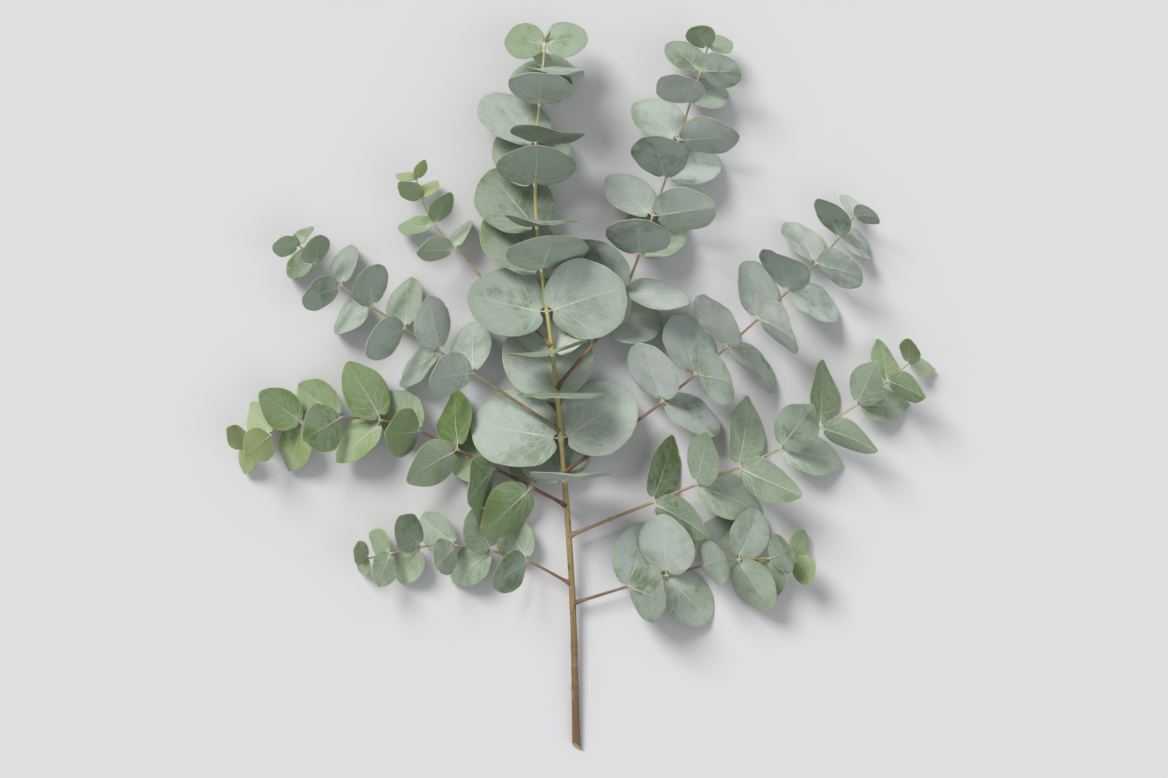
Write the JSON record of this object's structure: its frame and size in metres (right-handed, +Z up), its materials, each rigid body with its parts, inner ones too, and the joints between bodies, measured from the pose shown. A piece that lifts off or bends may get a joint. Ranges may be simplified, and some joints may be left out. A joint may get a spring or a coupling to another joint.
{
  "type": "eucalyptus branch",
  "caption": "Cut branch of silver-dollar eucalyptus, lying flat, with side shoots and opposite pairs of round grey-green leaves.",
  "frame": {"origin": "on the surface that the branch lies on, under the middle of its box", "axes": "+Z up from the surface, +Y from the cut end to the leader's tip, +X to the right as seen from above"},
  "size_m": [0.4344, 0.4474, 0.077],
  "materials": {
    "bark": "smooth red-brown bark, paler and greener towards the tip",
    "shoot_bark": "smooth young bark, yellow-tan to reddish, slightly waxy",
    "leaf": "leathery blade with a matt blue-grey wax bloom, pale veins and a thin pale margin"
  },
  "bodies": {
    "root": {"left_base_leaf_pair_1": "leaf", "left_base_leaf_pair_2": "leaf", "left_base_leaf_pair_3": "leaf", "left_base_leaf_pair_4": "leaf", "left_base_stem": "shoot_bark", "left_lower_leaf_pair_1": "leaf", "left_lower_leaf_pair_2": "leaf", "left_lower_leaf_pair_3": "leaf", "left_lower_leaf_pair_4": "leaf", "left_lower_leaf_pair_5": "leaf", "left_lower_leaf_pair_6": "leaf", "left_lower_leaf_pair_7": "leaf", "left_lower_stem": "shoot_bark", "left_middle_leaf_pair_1": "leaf", "left_middle_leaf_pair_2": "leaf", "left_middle_leaf_pair_3": "leaf", "left_middle_leaf_pair_4": "leaf", "left_middle_leaf_pair_5": "leaf", "left_middle_stem": "shoot_bark", "left_upper_leaf_pair_1": "leaf", "left_upper_leaf_pair_2": "leaf", "left_upper_stem": "shoot_bark", "main_leaf_pair_1": "leaf", "main_leaf_pair_10": "leaf", "main_leaf_pair_2": "leaf", "main_leaf_pair_3": "leaf", "main_leaf_pair_4": "leaf", "main_leaf_pair_5": "leaf", "main_leaf_pair_6": "leaf", "main_leaf_pair_7": "leaf", "main_leaf_pair_8": "leaf", "main_leaf_pair_9": "leaf", "main_stem": "bark", "right_base_leaf_pair_1": "leaf", "right_base_leaf_pair_2": "leaf", "right_base_leaf_pair_3": "leaf", "right_base_leaf_pair_4": "leaf", "right_base_stem": "shoot_bark", "right_lower_leaf_pair_1": "leaf", "right_lower_leaf_pair_2": "leaf", "right_lower_leaf_pair_3": "leaf", "right_lower_leaf_pair_4": "leaf", "right_lower_leaf_pair_5": "leaf", "right_lower_leaf_pair_6": "leaf", "right_lower_stem": "shoot_bark", "right_middle_leaf_pair_1": "leaf", "right_middle_leaf_pair_2": "leaf", "right_middle_leaf_pair_3": "leaf", "right_middle_leaf_pair_4": "leaf", "right_middle_leaf_pair_5": "leaf", "right_middle_leaf_pair_6": "leaf", "right_middle_stem": "shoot_bark", "right_upper_leaf_pair_1": "leaf", "right_upper_leaf_pair_2": "leaf", "right_upper_leaf_pair_3": "leaf", "right_upper_leaf_pair_4": "leaf", "right_upper_leaf_pair_5": "leaf", "right_upper_leaf_pair_6": "leaf", "right_upper_leaf_pair_7": "leaf", "right_upper_stem": "shoot_bark"}
  },
  "joints": []
}
